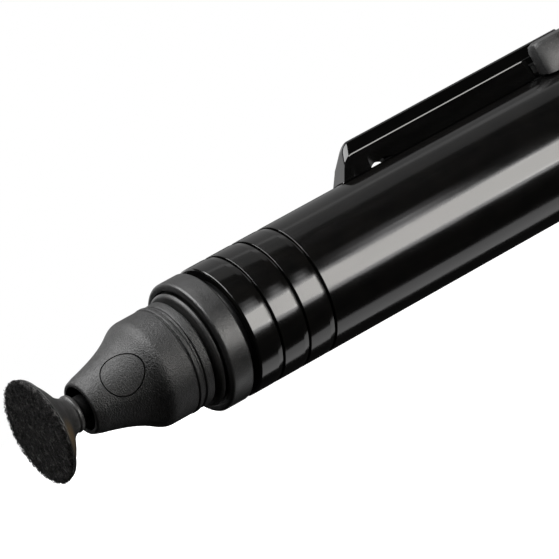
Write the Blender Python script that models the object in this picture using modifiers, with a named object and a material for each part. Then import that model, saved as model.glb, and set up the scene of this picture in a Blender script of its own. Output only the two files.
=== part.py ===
"""Lens cleaning pen: suede tip on a pivoting stem, barrel, and a slide that pushes a brush out of the rear.

The pen lies along X with its cleaning tip at -X and its clip up at +Z. Lengths along the pen are
stations in metres, from TIP_FACE to TAIL_END, so a station minus MIDDLE is the X coordinate.
The origin is at the middle of the length, on the surface that the barrel rests on.
"""

import math

import bmesh
import bpy
from mathutils import Matrix, Vector

MM = 0.001
GAP = 0.3 * MM
FINE_GAP = 0.15 * MM

TIP_FACE = -0.6 * MM
TAIL_END = 106.0 * MM
MIDDLE = (TIP_FACE + TAIL_END) / 2
BARREL_RADIUS = 7.0 * MM
BARREL_WALL = 1.0 * MM
OUTER_STEPS = 32
INNER_STEPS = 24
AXIS_HEIGHT = BARREL_RADIUS * math.cos(math.pi / OUTER_STEPS)

PAD_RADIUS = 5.6 * MM
PAD_THICKNESS = 0.45 * MM
CUP_RADIUS = 5.45 * MM
CUP_END = TIP_FACE + 4.5 * MM
CUP_HOLLOW_RADIUS = 4.0 * MM
NECK_RADIUS = 1.9 * MM
STEM_RADIUS = 0.7 * MM
STEM_HEAD_RADIUS = 0.95 * MM
STEM_HEAD_STATION = TIP_FACE + 2.75 * MM
PIVOT_STATION = 8.65 * MM
PIVOT_BALL_RADIUS = 1.6 * MM
PIVOT_PIN_RADIUS = 0.6 * MM
PIVOT_PLUG_RADIUS = 2.0 * MM
PIVOT_TILT = math.radians(15.0)

NOSE_START = 4.65 * MM
NOSE_MOUTH_RADIUS = 2.0 * MM
NOSE_SHOULDER = 12.6 * MM
NOSE_END = 15.5 * MM
NOSE_RADIUS = 5.67 * MM
SPIGOT_RADIUS = 4.3 * MM
SPIGOT_BORE = SPIGOT_RADIUS + GAP
SPIGOT_START = 12.5 * MM
SPIGOT_FLANGE = 27.3 * MM
COLLAR_END = 17.2 * MM
SEAL_RADIUS = 6.1 * MM
SEAL_END = 17.85 * MM
RING_START = 18.0 * MM
RING_END = 20.6 * MM
BUSHING_RADIUS = 5.7 * MM
BUSHING_END = SPIGOT_FLANGE - GAP
BARREL_START = 21.4 * MM
GROOVE_STATIONS = (24.3 * MM, 27.55 * MM, 30.8 * MM)
GROOVE_WIDTH = 0.3 * MM
GROOVE_DEPTH = 0.35 * MM

TRAVEL = 22.0 * MM
TAIL_START = 103.4 * MM
TAIL_BORE = 4.9 * MM
SLEEVE_START = 66.0 * MM
SLEEVE_END = 99.7 * MM
SLEEVE_BORE = 5.0 * MM
POST_START = 69.5 * MM
POST_LENGTH = 7.0 * MM
POST_WIDTH = 2.0 * MM
POST_TOP = BARREL_RADIUS + 0.6 * MM
CARRIAGE_RADIUS = SLEEVE_BORE - GAP
FERRULE_RADIUS = 4.2 * MM
FERRULE_START = 78.0 * MM
FERRULE_END = 88.0 * MM
BRISTLE_ROOT_RADIUS = 3.3 * MM
BRISTLE_TIP = 104.5 * MM

CLIP_WIDTH = 2.8 * MM
CLIP_DRAFT = math.radians(7.0)
CLIP_START = 41.1 * MM
CLIP_SIDE_TOP = 9.2 * MM
CLIP_TOP = 10.55 * MM
CLIP_LEAN = math.radians(35.0)
CLIP_CLEARANCE = 0.12 * MM
CLIP_PIN_STATION = 70.5 * MM
CLIP_PIN_HEIGHT = 9.3 * MM
CLIP_PIN_RADIUS = 0.5 * MM
CLIP_EYE_RADIUS = 1.1 * MM
SLIDER_START = 66.6 * MM
SLIDER_END = 82.0 * MM
SLIDER_WIDTH = 6.4 * MM
SLIDER_TOP = 10.3 * MM

RUBBER = (0.020, 0.020, 0.022)
SUEDE = (0.030, 0.029, 0.030)
MATTE_BLACK = (0.028, 0.028, 0.030)
GLOSS_BLACK = (0.008, 0.008, 0.009)
STEEL = (0.55, 0.55, 0.56)
BRISTLE = (0.055, 0.045, 0.040)


def clear_scene():
    for item in list(bpy.data.objects):
        bpy.data.objects.remove(item, do_unlink=True)


def new_collection(name):
    collection = bpy.data.collections.new(name)
    bpy.context.scene.collection.children.link(collection)
    return collection


def material(name, colour, roughness, metallic=0.0):
    made = bpy.data.materials.new(name)
    made.use_nodes = True
    shader = made.node_tree.nodes["Principled BSDF"]
    shader.inputs["Base Color"].default_value = (*colour, 1.0)
    shader.inputs["Roughness"].default_value = roughness
    shader.inputs["Metallic"].default_value = metallic
    return made


def at(station, across=0.0, height=0.0):
    """The world point at a station, at a distance across and at a height above the pen's axis."""
    return Vector((station - MIDDLE, across, AXIS_HEIGHT + height))


def arc(centre, radius, start, end, count):
    """Points (station, radius) on an arc. Angles are in degrees from the pen's axis."""
    points = []
    for index in range(count + 1):
        angle = math.radians(start + (end - start) * index / count)
        points.append((centre[0] + radius * math.cos(angle), centre[1] + radius * math.sin(angle)))
    return points


def bezier(start, lead, trail, end, count):
    """Points on a cubic curve from start to end, both included."""
    points = []
    for index in range(count + 1):
        t = index / count
        weights = ((1 - t) ** 3, 3 * (1 - t) ** 2 * t, 3 * (1 - t) * t * t, t ** 3)
        corners = (start, lead, trail, end)
        points.append(tuple(sum(w * c[axis] for w, c in zip(weights, corners)) for axis in (0, 1)))
    return points


def place(name, mesh, look, collection):
    item = bpy.data.objects.new(name, mesh)
    collection.objects.link(item)
    if look:
        mesh.materials.append(look)
    return item


def turned(name, outline, look, collection, steps=OUTER_STEPS, closed=True):
    """A solid of revolution about the pen's axis. The outline is (station, radius), from the rear end
    forward along the outer side; a closed one comes back along the bore, an open one ends on the axis."""
    half_step = math.pi / steps
    mesh = bpy.data.meshes.new(name)
    form = bmesh.new()
    verts = []
    for station, radius in outline:
        verts.append(form.verts.new((radius * math.cos(half_step), radius * math.sin(half_step), station)))
    for first, second in zip(verts, verts[1:]):
        form.edges.new((first, second))
    if closed:
        form.edges.new((verts[-1], verts[0]))
    form.to_mesh(mesh)
    form.free()
    item = place(name, mesh, look, collection)
    item.rotation_euler = (0.0, math.pi / 2, 0.0)
    item.location = at(0.0)
    screw = item.modifiers.new("Turn", "SCREW")
    screw.axis = "Z"
    screw.steps = steps
    screw.render_steps = steps
    screw.use_merge_vertices = True
    screw.merge_threshold = 0.00001
    screw.use_smooth_shade = True
    return item


def rod_mesh(name, start, end, radius, sides):
    mesh = bpy.data.meshes.new(name)
    form = bmesh.new()
    run = end - start
    bmesh.ops.create_cone(
        form, cap_ends=True, segments=sides, radius1=radius, radius2=radius, depth=run.length
    )
    turn = run.to_track_quat("Z", "Y").to_matrix().to_4x4()
    bmesh.ops.transform(form, matrix=Matrix.Translation((start + end) / 2) @ turn, verts=form.verts)
    form.to_mesh(mesh)
    form.free()
    return mesh


def box_mesh(name, low, high):
    mesh = bpy.data.meshes.new(name)
    form = bmesh.new()
    bmesh.ops.create_cube(form, size=1.0)
    size = high - low
    shape = Matrix.Translation((low + high) / 2) @ Matrix.Diagonal((*size, 1.0))
    bmesh.ops.transform(form, matrix=shape, verts=form.verts)
    form.to_mesh(mesh)
    form.free()
    return mesh


def combine(item, tool, operation="DIFFERENCE"):
    step = item.modifiers.new(operation.title(), "BOOLEAN")
    step.operation = operation
    step.solver = "EXACT"
    step.object = tool
    return item


def hide_tool(tool):
    tool.hide_render = True
    tool.display_type = "WIRE"
    return tool


def tool_rod(name, start, end, radius, cutters, sides=24):
    return hide_tool(place(name, rod_mesh(name, start, end, radius, sides), None, cutters))


def tool_box(name, low, high, cutters):
    return hide_tool(place(name, box_mesh(name, low, high), None, cutters))


def ride(items, empty):
    """Puts items under an empty that stands on their joint's axis, leaving them where they are."""
    for item in items:
        item.parent = empty
        item.matrix_parent_inverse = Matrix.Translation(-empty.location)


def joint_empty(name, point, collection):
    empty = bpy.data.objects.new(name, None)
    empty.empty_display_size = 2 * MM
    empty.location = point
    collection.objects.link(empty)
    return empty


def pivot_direction():
    """Along the stem's cross pin, towards -Y and tilted up."""
    return Vector((0.0, -math.cos(PIVOT_TILT), math.sin(PIVOT_TILT)))


def cleaning_pad(looks, parts):
    edge = 0.1 * MM
    back = TIP_FACE + PAD_THICKNESS
    outline = [
        (back, 0.0),
        (back, PAD_RADIUS - edge),
        (back - edge, PAD_RADIUS),
        (TIP_FACE + edge, PAD_RADIUS),
        (TIP_FACE, PAD_RADIUS - edge),
        (TIP_FACE, 0.0),
    ]
    return turned("cleaning_pad", outline, looks["suede"], parts, closed=False)


def foam_backing(looks, parts):
    front = TIP_FACE + PAD_THICKNESS + FINE_GAP
    back = front + 0.6 * MM
    radius = CUP_HOLLOW_RADIUS - 0.2 * MM
    outline = [(back, 0.0), (back, radius - 0.4 * MM), (front, radius), (front, 0.0)]
    return turned("foam_backing", outline, looks["foam"], parts, INNER_STEPS, closed=False)


def tip_cup(looks, parts):
    """Thin flange, trumpet flare and round neck; a shallow hollow in front and a socket behind."""
    rim = TIP_FACE + PAD_THICKNESS + FINE_GAP
    flange_back = rim + 0.25 * MM
    flare = bezier(
        (flange_back, CUP_RADIUS - 0.35 * MM), (rim + 1.22 * MM, 3.63 * MM), (rim + 1.81 * MM, 2.23 * MM),
        (CUP_END - 0.3 * MM, NECK_RADIUS), 5,
    )
    outer = [(CUP_END, NECK_RADIUS - 0.25 * MM)] + flare[::-1] + [(rim, CUP_RADIUS)]
    hollow = [
        (rim, CUP_HOLLOW_RADIUS),
        (rim + 0.8 * MM, CUP_HOLLOW_RADIUS - 0.6 * MM),
        (rim + 0.8 * MM, 0.0),
    ]
    return turned("tip_cup", [(CUP_END, 0.0)] + outer + hollow, looks["rubber"], parts, closed=False)


def socket_tool(cutters):
    """The hollow in the cup's neck that holds the stem's round head and lets the cup flex on it."""
    radius = STEM_HEAD_RADIUS + FINE_GAP
    throat = STEM_RADIUS + 0.35 * MM
    centre = (STEM_HEAD_STATION, 0.0)
    reach = math.degrees(math.asin(0.8 * MM / radius))
    outline = [(CUP_END + MM, 0.0), (CUP_END + MM, throat + 0.15 * MM)]
    outline += arc(centre, radius, reach, 180.0, 6)
    tool = turned("socket_tool", outline, None, cutters, INNER_STEPS, closed=False)
    return hide_tool(tool)


def tip_stem(looks, parts, cutters):
    """Round head, thin shank and a ball with a cross hole for the pivot pins."""
    head = arc((STEM_HEAD_STATION, 0.0), STEM_HEAD_RADIUS, 45.0, 180.0, 5)
    ball = arc((PIVOT_STATION, 0.0), PIVOT_BALL_RADIUS, 0.0, 152.0, 7)
    outline = ball + [(PIVOT_STATION - 1.9 * MM, STEM_RADIUS)] + head
    item = turned("tip_stem", outline, looks["nylon"], parts, INNER_STEPS, closed=False)
    reach = pivot_direction() * 3 * MM
    centre = at(PIVOT_STATION)
    hole = tool_rod("stem_hole", centre - reach, centre + reach, PIVOT_PIN_RADIUS + FINE_GAP, cutters, 16)
    return combine(item, hole)


def nose_outline():
    """The bottle-shaped outer side, from the back edge to the mouth."""
    shoulder = bezier(
        (NOSE_START + 0.7 * MM, 3.0 * MM), (NOSE_SHOULDER - 1.05 * MM, 4.45 * MM),
        (NOSE_SHOULDER - 1.65 * MM, 5.68 * MM), (NOSE_SHOULDER, NOSE_RADIUS), 7,
    )
    front = [(NOSE_START + 0.25 * MM, 2.75 * MM), (NOSE_START, 2.35 * MM)]
    return [(NOSE_END, NOSE_RADIUS + 0.05 * MM)] + shoulder[::-1] + front


def nose_cone(looks, parts, cutters):
    back_bore_start = SPIGOT_START - GAP
    inner = [
        (NOSE_START, NOSE_MOUTH_RADIUS),
        (PIVOT_STATION + 2.0 * MM, NOSE_MOUTH_RADIUS),
        (PIVOT_STATION + 2.0 * MM, 0.8 * MM),
        (back_bore_start, 0.8 * MM),
        (back_bore_start, SPIGOT_BORE),
        (NOSE_END, SPIGOT_BORE),
    ]
    item = turned("nose_cone", nose_outline() + inner, looks["matte"], parts)
    centre = at(PIVOT_STATION)
    reach = pivot_direction() * 6 * MM
    hole = tool_rod("plug_hole", centre - reach, centre + reach, PIVOT_PLUG_RADIUS + FINE_GAP, cutters)
    return combine(item, hole)


def pivot_plug(name, side, looks, parts, cutters):
    """A plug flush with the nose, whose stub shaft enters the stem's ball."""
    direction = pivot_direction() * side
    centre = at(PIVOT_STATION)
    head = place(
        name,
        rod_mesh(name, centre + direction * 2.1 * MM, centre + direction * 6 * MM, PIVOT_PLUG_RADIUS, 24),
        looks["matte"], parts,
    )
    shaft = tool_rod(
        name + "_shaft", centre + direction * 0.15 * MM, centre + direction * 3 * MM, PIVOT_PIN_RADIUS,
        cutters, 16,
    )
    combine(head, shaft, "UNION")
    trim = turned(
        name + "_trim", [(NOSE_END, 0.0)] + nose_outline() + [(NOSE_START, 0.0)], None, cutters,
        closed=False,
    )
    return combine(head, hide_tool(trim), "INTERSECT")


def tube(name, start, end, outer, inner, look, parts, steps=OUTER_STEPS):
    outline = [(end, outer), (start, outer), (start, inner), (end, inner)]
    return turned(name, outline, look, parts, steps)


def nose_spigot(looks, parts):
    """The core that carries the nose, held behind the front bushing by its flange."""
    outline = [
        (SPIGOT_FLANGE + 2 * MM, 0.0),
        (SPIGOT_FLANGE + 2 * MM, BUSHING_RADIUS),
        (SPIGOT_FLANGE, BUSHING_RADIUS),
        (SPIGOT_FLANGE, SPIGOT_RADIUS),
        (SPIGOT_START, SPIGOT_RADIUS),
        (SPIGOT_START, 0.0),
    ]
    return turned("nose_spigot", outline, looks["nylon"], parts, INNER_STEPS, closed=False)


def front_ring(looks, parts):
    """The cap's stop, with a rounded front edge and a recess in its face that clears the seal."""
    radius = BARREL_RADIUS - 0.03 * MM
    edge = 0.4 * MM
    recess_radius = SEAL_RADIUS + 0.1 * MM
    recess_back = RING_START + 0.35 * MM
    rounding = arc((RING_START + edge, radius - edge), edge, 90.0, 180.0, 3)
    recess = [(RING_START, recess_radius), (recess_back, recess_radius), (recess_back, SPIGOT_BORE)]
    outline = [(RING_END, radius)] + rounding + recess + [(RING_END, SPIGOT_BORE)]
    return turned("front_ring", outline, looks["satin"], parts)


def barrel(looks, parts, cutters):
    """The tube, with three grooves near its front and a slot on top for the slide's post."""
    bore = BARREL_RADIUS - BARREL_WALL
    outline = [(TAIL_START - GAP, BARREL_RADIUS)]
    for station in reversed(GROOVE_STATIONS):
        half = GROOVE_WIDTH / 2
        outline += [
            (station + half, BARREL_RADIUS),
            (station + half, BARREL_RADIUS - GROOVE_DEPTH),
            (station - half, BARREL_RADIUS - GROOVE_DEPTH),
            (station - half, BARREL_RADIUS),
        ]
    chamfer = 0.15 * MM
    outline += [
        (BARREL_START + chamfer, BARREL_RADIUS),
        (BARREL_START, BARREL_RADIUS - chamfer),
        (BARREL_START, bore),
        (TAIL_START - GAP, bore),
    ]
    item = turned("barrel", outline, looks["gloss"], parts)
    return combine(item, slot_tool(cutters))


def slot_tool(cutters):
    half = POST_WIDTH / 2 + GAP
    low = at(POST_START - GAP, -half, 3 * MM)
    high = at(POST_START + POST_LENGTH + TRAVEL + GAP, half, BARREL_RADIUS + MM)
    return tool_box("post_slot", low, high, cutters)


def guide_sleeve(looks, parts, cutters):
    item = tube("guide_sleeve", SLEEVE_START, SLEEVE_END, BUSHING_RADIUS, SLEEVE_BORE, looks["nylon"], parts)
    return combine(item, slot_tool(cutters))


def tail_ring(looks, parts):
    """The rear trim ring, whose spigot plugs into the barrel."""
    edge = 0.5 * MM
    spigot_start = SLEEVE_END + GAP
    rounding = arc((TAIL_END - edge, BARREL_RADIUS - edge), edge, 0.0, 90.0, 3)
    outline = rounding + [
        (TAIL_START, BARREL_RADIUS),
        (TAIL_START, BUSHING_RADIUS),
        (spigot_start, BUSHING_RADIUS),
        (spigot_start, TAIL_BORE),
        (TAIL_END, TAIL_BORE),
    ]
    return turned("tail_ring", outline, looks["satin"], parts)


def brush_carriage(looks, parts, cutters):
    """The runner in the sleeve: a nose for the ferrule, a pocket below for the detent spring, and a post
    that reaches up through the slots to the thumb slide."""
    start = POST_START - 0.5 * MM
    end = FERRULE_START - GAP
    nose_end = FERRULE_START + 3.0 * MM
    outline = [
        (nose_end, 0.0),
        (nose_end, BRISTLE_ROOT_RADIUS - 0.1 * MM),
        (end, BRISTLE_ROOT_RADIUS - 0.1 * MM),
        (end, CARRIAGE_RADIUS),
        (start, CARRIAGE_RADIUS),
        (start, 0.0),
    ]
    item = turned("brush_carriage", outline, looks["nylon"], parts, closed=False)
    pocket = tool_box(
        "spring_pocket", at(start + 0.8 * MM, -1.5 * MM, -6 * MM), at(end - 0.8 * MM, 1.5 * MM, -3.7 * MM),
        cutters,
    )
    combine(item, pocket)
    post = tool_box(
        "slide_post", at(POST_START, -POST_WIDTH / 2, 3 * MM),
        at(POST_START + POST_LENGTH, POST_WIDTH / 2, POST_TOP), cutters,
    )
    return combine(item, post, "UNION")


def detent_spring(looks, parts):
    """A bowed leaf under the carriage that clicks at each end of the travel."""
    mesh = bpy.data.meshes.new("detent_spring")
    form = bmesh.new()
    centre = (POST_START + FERRULE_START) / 2 - 0.4 * MM
    half = 2.9 * MM
    low = -CARRIAGE_RADIUS + 0.35 * MM
    rise = 0.35 * MM
    half_width = 1.0 * MM
    row = []
    for index in range(9):
        along = -half + 2 * half * index / 8
        height = low + rise * (along / half) ** 2
        row.append([form.verts.new(at(centre + along, y, height)) for y in (-half_width, half_width)])
    for first, second in zip(row, row[1:]):
        form.faces.new((first[0], second[0], second[1], first[1]))
    form.to_mesh(mesh)
    form.free()
    item = place("detent_spring", mesh, looks["steel"], parts)
    shell = item.modifiers.new("Leaf", "SOLIDIFY")
    shell.thickness = 0.2 * MM
    shell.offset = 1.0
    return item


def brush_bristles(looks, parts):
    """The outer shape of the bundle: a tight root, a slight swell and a rounded end."""
    root = FERRULE_START + 3.5 * MM
    swell = 0.55 * MM
    tip = bezier(
        (FERRULE_END + 7 * MM, BRISTLE_ROOT_RADIUS + swell), (BRISTLE_TIP - 4 * MM, 4.1 * MM),
        (BRISTLE_TIP, 2.8 * MM), (BRISTLE_TIP, 0.0), 6,
    )
    side = [(FERRULE_END, BRISTLE_ROOT_RADIUS), (root, BRISTLE_ROOT_RADIUS), (root, 0.0)]
    return turned("brush_bristles", tip[::-1] + side, looks["bristle"], parts, INNER_STEPS, closed=False)


def clip_bar(parts, look):
    """The clip's section, drafted sides under a crown, drawn out along the pen."""
    half = CLIP_WIDTH / 2
    half_top = half - (CLIP_SIDE_TOP - BARREL_RADIUS) * math.tan(CLIP_DRAFT)
    crown = CLIP_TOP - CLIP_SIDE_TOP
    section = [(-half, 5.5 * MM), (-half, BARREL_RADIUS)]
    for index in range(9):
        angle = math.radians(180.0 - 22.5 * index)
        section.append((half_top * math.cos(angle), CLIP_SIDE_TOP + crown * math.sin(angle)))
    section += [(half, BARREL_RADIUS), (half, 5.5 * MM)]
    mesh = bpy.data.meshes.new("clip")
    form = bmesh.new()
    ends = []
    for station in (CLIP_START - MM, CLIP_PIN_STATION + CLIP_EYE_RADIUS):
        ends.append([form.verts.new(at(station, across, height)) for across, height in section])
    count = len(section)
    for index in range(count):
        after = (index + 1) % count
        form.faces.new((ends[0][index], ends[0][after], ends[1][after], ends[1][index]))
    form.faces.new(ends[0])
    form.faces.new(ends[1])
    bmesh.ops.recalc_face_normals(form, faces=form.faces)
    form.to_mesh(mesh)
    form.free()
    return place("clip", mesh, look, parts)


def clip(looks, parts, cutters):
    item = clip_bar(parts, looks["gloss"])
    clearance = BARREL_RADIUS + CLIP_CLEARANCE
    bed = tool_rod("barrel_bed", at(CLIP_START - 9 * MM), at(TAIL_END), clearance, cutters, 64)
    combine(item, bed)
    combine(item, end_tool(cutters))
    notch_centre = CLIP_START + 4.8 * MM
    notch_radius = 2.6 * MM
    notch_low = clearance + 0.42 * MM - notch_radius
    notch = tool_rod(
        "clip_notch", at(notch_centre, -5 * MM, notch_low), at(notch_centre, 5 * MM, notch_low),
        notch_radius, cutters, 48,
    )
    combine(item, notch)
    heel = tool_box(
        "clip_heel", at(SLIDER_START - 0.5 * MM, -5 * MM, 5 * MM),
        at(CLIP_PIN_STATION + 5 * MM, 5 * MM, CLIP_PIN_HEIGHT - CLIP_EYE_RADIUS), cutters,
    )
    combine(item, heel)
    eye = tool_rod(
        "clip_eye", at(CLIP_PIN_STATION, -5 * MM, CLIP_PIN_HEIGHT), at(CLIP_PIN_STATION, 5 * MM, CLIP_PIN_HEIGHT),
        CLIP_PIN_RADIUS + FINE_GAP, cutters, 16,
    )
    return combine(item, eye)


def end_tool(cutters):
    """Everything ahead of the clip's leaning end face."""
    block = place(
        "clip_end", box_mesh("clip_end", Vector((-8 * MM, -5 * MM, -6 * MM)), Vector((0.0, 5 * MM, 12 * MM))),
        None, cutters,
    )
    block.rotation_euler = (0.0, CLIP_LEAN, 0.0)
    block.location = at(CLIP_START, 0.0, BARREL_RADIUS)
    return hide_tool(block)


def thumb_slide(looks, parts, cutters):
    """A ribbed pad over the slot, forked at the front for the clip, seated on the post."""
    mesh = box_mesh(
        "thumb_slide", at(SLIDER_START, -SLIDER_WIDTH / 2, 5.0 * MM), at(SLIDER_END, SLIDER_WIDTH / 2, SLIDER_TOP)
    )
    item = place("thumb_slide", mesh, looks["matte"], parts)
    soften = item.modifiers.new("Edges", "BEVEL")
    soften.width = 0.8 * MM
    soften.segments = 2
    bed = tool_rod("slide_bed", at(SLIDER_START - MM), at(SLIDER_END + MM), BARREL_RADIUS + GAP, cutters, 64)
    combine(item, bed)
    half = CLIP_WIDTH / 2 + GAP
    fork_end = CLIP_PIN_STATION + CLIP_EYE_RADIUS + GAP
    fork = tool_box(
        "slide_fork", at(SLIDER_START - MM, -half, 5 * MM), at(fork_end, half, SLIDER_TOP + MM), cutters
    )
    combine(item, fork)
    seat = tool_box(
        "slide_seat", at(POST_START - GAP, -POST_WIDTH / 2 - GAP, 5 * MM),
        at(POST_START + POST_LENGTH + GAP, POST_WIDTH / 2 + GAP, POST_TOP + GAP), cutters,
    )
    combine(item, seat)
    pin_hole = tool_rod(
        "slide_pin_hole", at(CLIP_PIN_STATION, -5 * MM, CLIP_PIN_HEIGHT),
        at(CLIP_PIN_STATION, 5 * MM, CLIP_PIN_HEIGHT), CLIP_PIN_RADIUS + FINE_GAP, cutters, 16,
    )
    combine(item, pin_hole)
    for index in range(5):
        station = SLIDER_END - 2.0 * MM - index * 1.6 * MM
        rib = tool_box(
            f"slide_rib_{index}", at(station - 0.4 * MM, -5 * MM, SLIDER_TOP - 0.35 * MM),
            at(station + 0.4 * MM, 5 * MM, SLIDER_TOP + MM), cutters,
        )
        combine(item, rib)
    return item


def clip_pin(looks, parts):
    half = SLIDER_WIDTH / 2 - 0.2 * MM
    mesh = rod_mesh(
        "clip_pin", at(CLIP_PIN_STATION, -half, CLIP_PIN_HEIGHT), at(CLIP_PIN_STATION, half, CLIP_PIN_HEIGHT),
        CLIP_PIN_RADIUS, 16,
    )
    return place("clip_pin", mesh, looks["steel"], parts)


def make_looks():
    return {
        "suede": material("suede", SUEDE, 0.95),
        "foam": material("foam", MATTE_BLACK, 0.9),
        "rubber": material("rubber", RUBBER, 0.5),
        "nylon": material("nylon", MATTE_BLACK, 0.5),
        "matte": material("matte", MATTE_BLACK, 0.55),
        "satin": material("satin", MATTE_BLACK, 0.4),
        "gloss": material("gloss", GLOSS_BLACK, 0.15),
        "steel": material("steel", STEEL, 0.3, 1.0),
        "bristle": material("bristle", BRISTLE, 0.7),
    }


def build_tip(looks, parts, cutters):
    stem = tip_stem(looks, parts, cutters)
    cup = combine(tip_cup(looks, parts), socket_tool(cutters))
    tip = [cup, cleaning_pad(looks, parts), foam_backing(looks, parts)]
    ride([stem], joint_empty("stem_axis", at(PIVOT_STATION), parts))
    ride(tip, joint_empty("cup_axis", at(STEM_HEAD_STATION), parts))


def build_front(looks, parts, cutters):
    nose_cone(looks, parts, cutters)
    pivot_plug("pivot_plug_right", 1.0, looks, parts, cutters)
    pivot_plug("pivot_plug_left", -1.0, looks, parts, cutters)
    nose_spigot(looks, parts)
    tube("cap_seat_collar", NOSE_END + GAP, COLLAR_END, NOSE_RADIUS, SPIGOT_BORE, looks["matte"], parts)
    tube("cap_seal_ring", COLLAR_END + FINE_GAP, SEAL_END, SEAL_RADIUS, SPIGOT_BORE, looks["rubber"], parts)
    front_ring(looks, parts)
    tube("front_bushing", RING_END + GAP, BUSHING_END, BUSHING_RADIUS, SPIGOT_BORE, looks["satin"], parts)


def build_rear(looks, parts, cutters):
    barrel(looks, parts, cutters)
    guide_sleeve(looks, parts, cutters)
    tail_ring(looks, parts)


def build_slide(looks, parts, cutters):
    ferrule = tube(
        "brush_ferrule", FERRULE_START, FERRULE_END, FERRULE_RADIUS, BRISTLE_ROOT_RADIUS + GAP,
        looks["satin"], parts, INNER_STEPS,
    )
    moving = [
        brush_carriage(looks, parts, cutters),
        detent_spring(looks, parts),
        ferrule,
        brush_bristles(looks, parts),
        thumb_slide(looks, parts, cutters),
        clip_pin(looks, parts),
    ]
    ride(moving, joint_empty("slide_axis", at(POST_START), parts))
    ride([clip(looks, parts, cutters)], joint_empty("clip_axis", at(CLIP_PIN_STATION, 0.0, CLIP_PIN_HEIGHT), parts))


def main():
    clear_scene()
    looks = make_looks()
    parts = new_collection("lens_cleaning_pen")
    cutters = new_collection("cutters")
    build_tip(looks, parts, cutters)
    build_front(looks, parts, cutters)
    build_rear(looks, parts, cutters)
    build_slide(looks, parts, cutters)


main()
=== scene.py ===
"""The looks of the lens cleaning pen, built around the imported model.

Places along the pen are stations in metres that grow towards its rear, with the tip's face at
TIP_FACE. Heights, distances across and radii are from the pen's axis.
"""
import math
import random

import bmesh
import bpy
from mathutils import Matrix, Vector, noise

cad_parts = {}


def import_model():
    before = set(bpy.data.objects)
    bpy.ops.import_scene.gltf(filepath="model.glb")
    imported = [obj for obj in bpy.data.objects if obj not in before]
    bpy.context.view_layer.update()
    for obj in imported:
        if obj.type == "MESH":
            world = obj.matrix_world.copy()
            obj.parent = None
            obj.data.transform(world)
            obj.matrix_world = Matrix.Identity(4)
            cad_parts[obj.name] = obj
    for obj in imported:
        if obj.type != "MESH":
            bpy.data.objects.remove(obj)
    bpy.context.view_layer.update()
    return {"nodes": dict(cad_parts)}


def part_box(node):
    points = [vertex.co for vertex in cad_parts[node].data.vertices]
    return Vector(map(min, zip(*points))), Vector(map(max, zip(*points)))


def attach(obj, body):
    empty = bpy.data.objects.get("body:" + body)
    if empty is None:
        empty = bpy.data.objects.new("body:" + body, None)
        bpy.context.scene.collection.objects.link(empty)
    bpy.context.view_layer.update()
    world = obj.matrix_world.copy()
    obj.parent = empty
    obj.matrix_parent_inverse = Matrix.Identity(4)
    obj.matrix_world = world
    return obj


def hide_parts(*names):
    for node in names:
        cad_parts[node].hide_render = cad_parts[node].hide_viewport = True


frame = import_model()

MM = 0.001
CAD_SIDES = 32
BARREL_LOW, BARREL_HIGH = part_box("barrel")
AXIS_HEIGHT = (BARREL_LOW.z + BARREL_HIGH.z) / 2
BARREL_RADIUS = (BARREL_HIGH.y - BARREL_LOW.y) / 2 / math.cos(math.pi / CAD_SIDES)
TIP_FACE = -0.6 * MM
START_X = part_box("cleaning_pad")[0].x - TIP_FACE

PAD_RADIUS = 5.58 * MM
PAD_THICKNESS = 0.5 * MM
NAP_FIBRES = 7000
CUP_RIM_RADIUS = 5.5 * MM
NECK_RADIUS = 1.9 * MM
HEAD_STATION = 2.15 * MM
HEAD_RADIUS = 0.95 * MM
SOCKET_RADIUS = 1.0 * MM
PIVOT_STATION = 8.65 * MM
PLUG_RADIUS = 2.12 * MM
PLUG_TILT = math.radians(15.0)
NOSE_SHOULDER = 12.6 * MM
NOSE_RADIUS = 5.67 * MM
SPIGOT_RADIUS = 4.62 * MM
NOSE_BORE = 4.6 * MM

GROOVES = (24.3 * MM, 27.55 * MM, 30.8 * MM)
BARREL_BORE = 6.0 * MM
GROOVE_FLOOR = BARREL_RADIUS - 0.42 * MM
SLOT_START = 69.2 * MM
SLOT_END = 98.8 * MM
SLOT_HALF_WIDTH = 1.3 * MM
HAIRS = 2600
GOLDEN_ANGLE = 2.399963

CLIP_HALF_WIDTH = 1.4 * MM
CLIP_BED = 7.12 * MM
CLIP_ROOT_BED = 8.25 * MM
CLIP_RIM = 9.1 * MM
CLIP_TOP = 10.53 * MM
CLIP_DRAFT = math.radians(8.0)
CLIP_LEAN = math.radians(35.0)
CLIP_LEAN_REACH = 5.0 * MM
CLIP_ROUNDING = 1.35 * MM
CLIP_DROP = 0.85 * MM
CLIP_ARCHED_END = 48.0 * MM
# Each arch under the clip is (centre, half its length, height).
CLIP_ARCHES = ((42.75 * MM, 0.45 * MM, 0.13 * MM), (45.95 * MM, 1.35 * MM, 0.40 * MM))

FOCAL_LENGTH = 326.3
SENSOR_WIDTH = 36.0
CAMERA_DISTANCE = 0.50209
CAMERA_LEFT = 1.24 * MM
CAMERA_UP = 1.205 * MM
VIEW_ANGLE = math.radians(63.66)
ROLL = math.radians(28.95)
DIM_SURROUND = 0.012
WHITE = (1.0, 1.0, 1.0, 1.0)


def at(station, across=0.0, height=0.0):
    """The world point at a station, at a distance across and at a height above the axis."""
    return Vector((START_X + station, across, AXIS_HEIGHT + height))


def span(node):
    """The stations of a CAD node's two ends."""
    low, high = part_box(node)
    return low.x - START_X, high.x - START_X


def node_radius(node):
    """Half of a round CAD node's height."""
    low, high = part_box(node)
    return (high.z - low.z) / 2


# ---------------------------------------------------------------- meshes


def link(name, mesh, look):
    """A new object in the scene with one material."""
    item = bpy.data.objects.new(name, mesh)
    bpy.context.scene.collection.objects.link(item)
    mesh.materials.append(look)
    return item


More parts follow.
